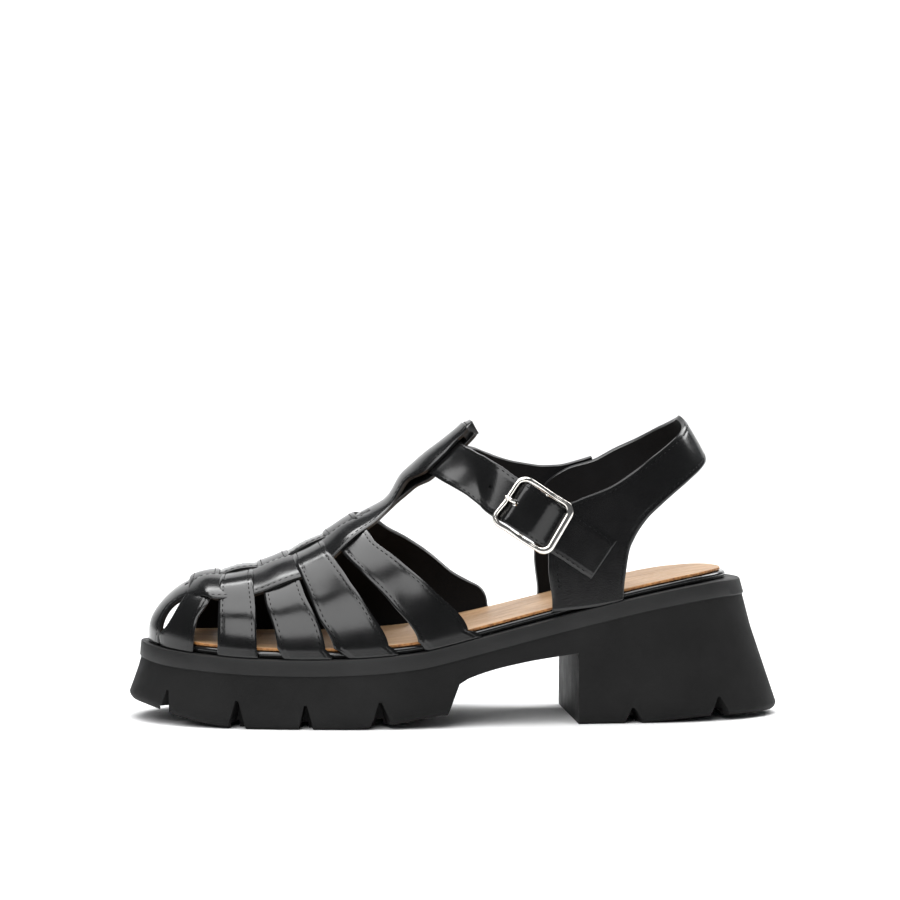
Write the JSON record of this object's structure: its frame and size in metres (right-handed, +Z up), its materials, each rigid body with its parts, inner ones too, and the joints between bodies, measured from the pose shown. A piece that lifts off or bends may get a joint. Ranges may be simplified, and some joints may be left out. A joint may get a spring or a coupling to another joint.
{
  "type": "sandal",
  "caption": "Left closed-toe fisherman sandal with woven straps, T-bar, buckled ankle strap, tan insole, lugged platform sole and flared block heel.",
  "frame": {"origin": "middle of the bounding box's bottom face, on the floor", "axes": "+Z up, -X towards the toe, +X towards the heel, -Y towards the outer side of this left shoe"},
  "size_m": [0.2834, 0.1042, 0.131],
  "materials": {
    "sole_rubber": "matt moulded rubber",
    "black_leather": "high-gloss smooth leather",
    "tan_leather": "smooth, slightly sheeny",
    "polished_steel": "warm polished silver"
  },
  "bodies": {
    "root": {"outsole": "sole_rubber", "footbed": "black_leather", "insole": "tan_leather", "upper_cage": "black_leather", "quarter_sling": "black_leather", "ankle_strap": "black_leather", "buckle_frame": "polished_steel", "buckle_prong": "polished_steel"}
  },
  "joints": []
}
